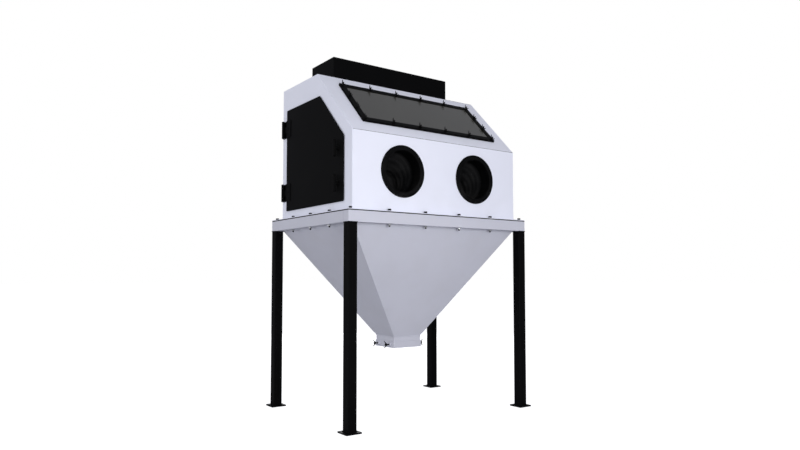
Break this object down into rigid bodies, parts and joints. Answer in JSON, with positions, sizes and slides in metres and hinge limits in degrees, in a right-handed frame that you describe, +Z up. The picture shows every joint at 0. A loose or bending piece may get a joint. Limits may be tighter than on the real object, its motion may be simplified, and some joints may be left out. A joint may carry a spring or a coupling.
{
  "type": "sandblast cabinet",
  "caption": "Free-standing sheet-steel blasting cabinet with sloping window, arm ports with gloves, side door, light box and collecting hopper on legs.",
  "frame": {"origin": "on the floor under the middle of the footprint of the four feet", "axes": "+X towards the cabinet's right as the operator faces it, -Y towards the operator, +Z up"},
  "size_m": [0.99, 0.73, 1.581],
  "materials": {
    "white_paint": "satin white powder coat",
    "stand_paint": "satin light grey-white powder coat",
    "black_paint": "satin black powder coat",
    "black_oxide": "black oxide",
    "black_rubber": "matt",
    "glove_rubber": "matt moulded rubber",
    "tinted_glass": "dark tinted",
    "clear_glass": "clear",
    "black_plastic": "moulded",
    "lamp_diffuser": "opal",
    "bare_steel": "zinc plated",
    "galvanised": "galvanised, blasted dull",
    "cast_aluminium": "as cast",
    "brass": "turned"
  },
  "bodies": {
    "cabinet": {"leg_front_left": "black_paint", "leg_front_right": "black_paint", "leg_rear_left": "black_paint", "leg_rear_right": "black_paint", "foot_plates": "black_paint", "rim_rail_front": "stand_paint", "rim_rail_rear": "stand_paint", "rim_rail_left": "stand_paint", "rim_rail_right": "stand_paint", "hopper_front": "stand_paint", "hopper_rear": "stand_paint", "hopper_left": "stand_paint", "hopper_right": "stand_paint", "hopper_neck": "stand_paint", "rim_gasket": "black_rubber", "cabinet_flange": "white_paint", "flange_bolts": "black_oxide", "flange_nuts": "bare_steel", "front_panel": "white_paint", "window_panel": "white_paint", "roof_panel": "white_paint", "back_panel": "white_paint", "left_side_panel": "white_paint", "right_side_panel": "white_paint", "window_gasket": "black_rubber", "window_glass": "tinted_glass", "window_frame": "black_paint", "window_studs": "black_oxide", "window_wing_nuts": "black_oxide", "port_ring_left": "black_plastic", "port_ring_right": "black_plastic", "port_screws": "black_oxide", "glove_left": "glove_rubber", "glove_right": "glove_rubber", "glove_clamps": "bare_steel", "cabinet_hinge_leaves": "black_paint", "hinge_pins": "bare_steel", "grate_ledges": "white_paint", "work_grate": "galvanised", "gun_body": "cast_aluminium", "gun_nozzle": "bare_steel", "trigger_pin": "bare_steel", "lamp_housing": "black_paint", "lamp_glass": "clear_glass", "lamp_battens": "lamp_diffuser", "switch_bezel": "black_plastic", "cable_gland": "black_plastic", "exhaust_spigot": "galvanised", "air_inlet": "brass"},
    "door": {"door_panel": "black_paint", "door_seal": "black_rubber", "door_hinge_leaves": "black_paint", "latch_bushings": "black_oxide"},
    "latch_lower": {"latch_lower": "black_paint"},
    "latch_upper": {"latch_upper": "black_paint"},
    "trigger": {"gun_trigger": "bare_steel"},
    "rocker": {"switch_rocker": "black_plastic"},
    "outlet": {"outlet_cap": "stand_paint", "outlet_gasket": "black_rubber", "cap_wing_screws": "black_oxide"}
  },
  "joints": [
    {"name": "door_hinge", "type": "hinge", "parent": "cabinet", "child": "door", "pos_m": [-0.454, 0.291, 1.1345], "axis": [0, 0, -1], "range_deg": [0, 110]},
    {"name": "latch_lower_turn", "type": "hinge", "parent": "door", "child": "latch_lower", "pos_m": [-0.449, -0.207, 0.975], "axis": [1, 0, 0], "range_deg": [0, 90]},
    {"name": "latch_upper_turn", "type": "hinge", "parent": "door", "child": "latch_upper", "pos_m": [-0.449, -0.207, 1.12], "axis": [1, 0, 0], "range_deg": [0, 90]},
    {"name": "trigger_pull", "type": "hinge", "parent": "cabinet", "child": "trigger", "pos_m": [-0.016, 0.18, 0.891], "axis": [0, 0, -1], "range_deg": [0, 9], "stiffness_Nm_per_rad": 2},
    {"name": "lamp_switch", "type": "hinge", "parent": "cabinet", "child": "rocker", "pos_m": [0.302, 0.116, 1.537], "axis": [0, 1, 0], "range_deg": [0, 20]},
    {"name": "outlet_drop", "type": "slide", "parent": "cabinet", "child": "outlet", "axis": [0, 0, -1], "range_m": [0, 0.06]}
  ]
}
